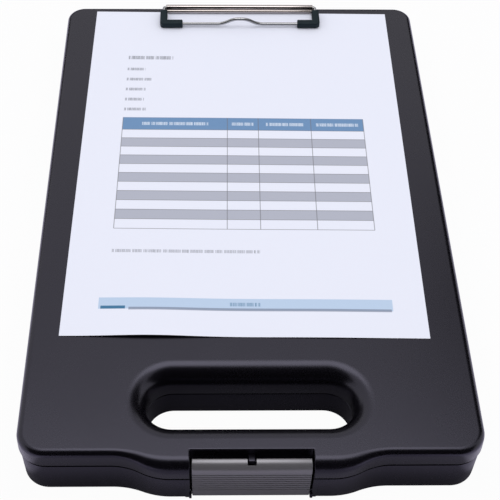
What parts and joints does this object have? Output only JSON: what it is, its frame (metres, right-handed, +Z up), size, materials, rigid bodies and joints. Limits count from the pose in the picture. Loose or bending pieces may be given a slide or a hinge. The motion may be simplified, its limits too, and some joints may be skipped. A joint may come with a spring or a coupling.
{
  "type": "storage clipboard box",
  "caption": "Flat hinged case for A4 sheets with a carrying hole, a front grip latch and a spring wire clip that holds a form on the lid.",
  "frame": {"origin": "middle of the underside, halfway between the rear wall and the front bulge", "axes": "+X across the case, +Y towards the hinge and the clip, +Z up out of the lid"},
  "size_m": [0.25, 0.3964, 0.0442],
  "materials": {
    "case_plastic": "satin",
    "latch_plastic": "satin",
    "pin_steel": "drawn",
    "clip_chrome": "bright plated",
    "wire_chrome": "bright plated",
    "rivet_steel": "zinc plated",
    "spring_steel": "oiled",
    "cap_rubber": "matt",
    "form_paper": "uncoated"
  },
  "bodies": {
    "base": {"base_shell": "case_plastic", "hinge_pin_left": "pin_steel", "hinge_pin_right": "pin_steel", "latch_pin_left": "pin_steel", "latch_pin_right": "pin_steel"},
    "lid": {"lid_shell": "case_plastic", "clip_bracket": "clip_chrome", "clip_rivet_left": "rivet_steel", "clip_rivet_right": "rivet_steel", "clip_washer_left": "rivet_steel", "clip_washer_right": "rivet_steel", "bail_spring_left": "spring_steel", "bail_spring_right": "spring_steel", "form_sheet": "form_paper"},
    "latch": {"latch": "latch_plastic"},
    "bail": {"bail_wire": "wire_chrome", "bail_cap_left": "cap_rubber", "bail_cap_right": "cap_rubber"}
  },
  "joints": [
    {"name": "lid_hinge", "type": "hinge", "parent": "base", "child": "lid", "pos_m": [0, 0.1985, 0.025], "axis": [-1, 0, 0], "range_deg": [0, 180]},
    {"name": "latch_hinge", "type": "hinge", "parent": "base", "child": "latch", "pos_m": [0, -0.1896, 0.0034], "axis": [1, 0, 0], "range_deg": [0, 80]},
    {"name": "bail_hinge", "type": "hinge", "parent": "lid", "child": "bail", "pos_m": [0, 0.18935, 0.0392], "axis": [-1, 0, 0], "range_deg": [0, 100], "stiffness_Nm_per_rad": 0.05, "springref_deg": -28.65}
  ]
}
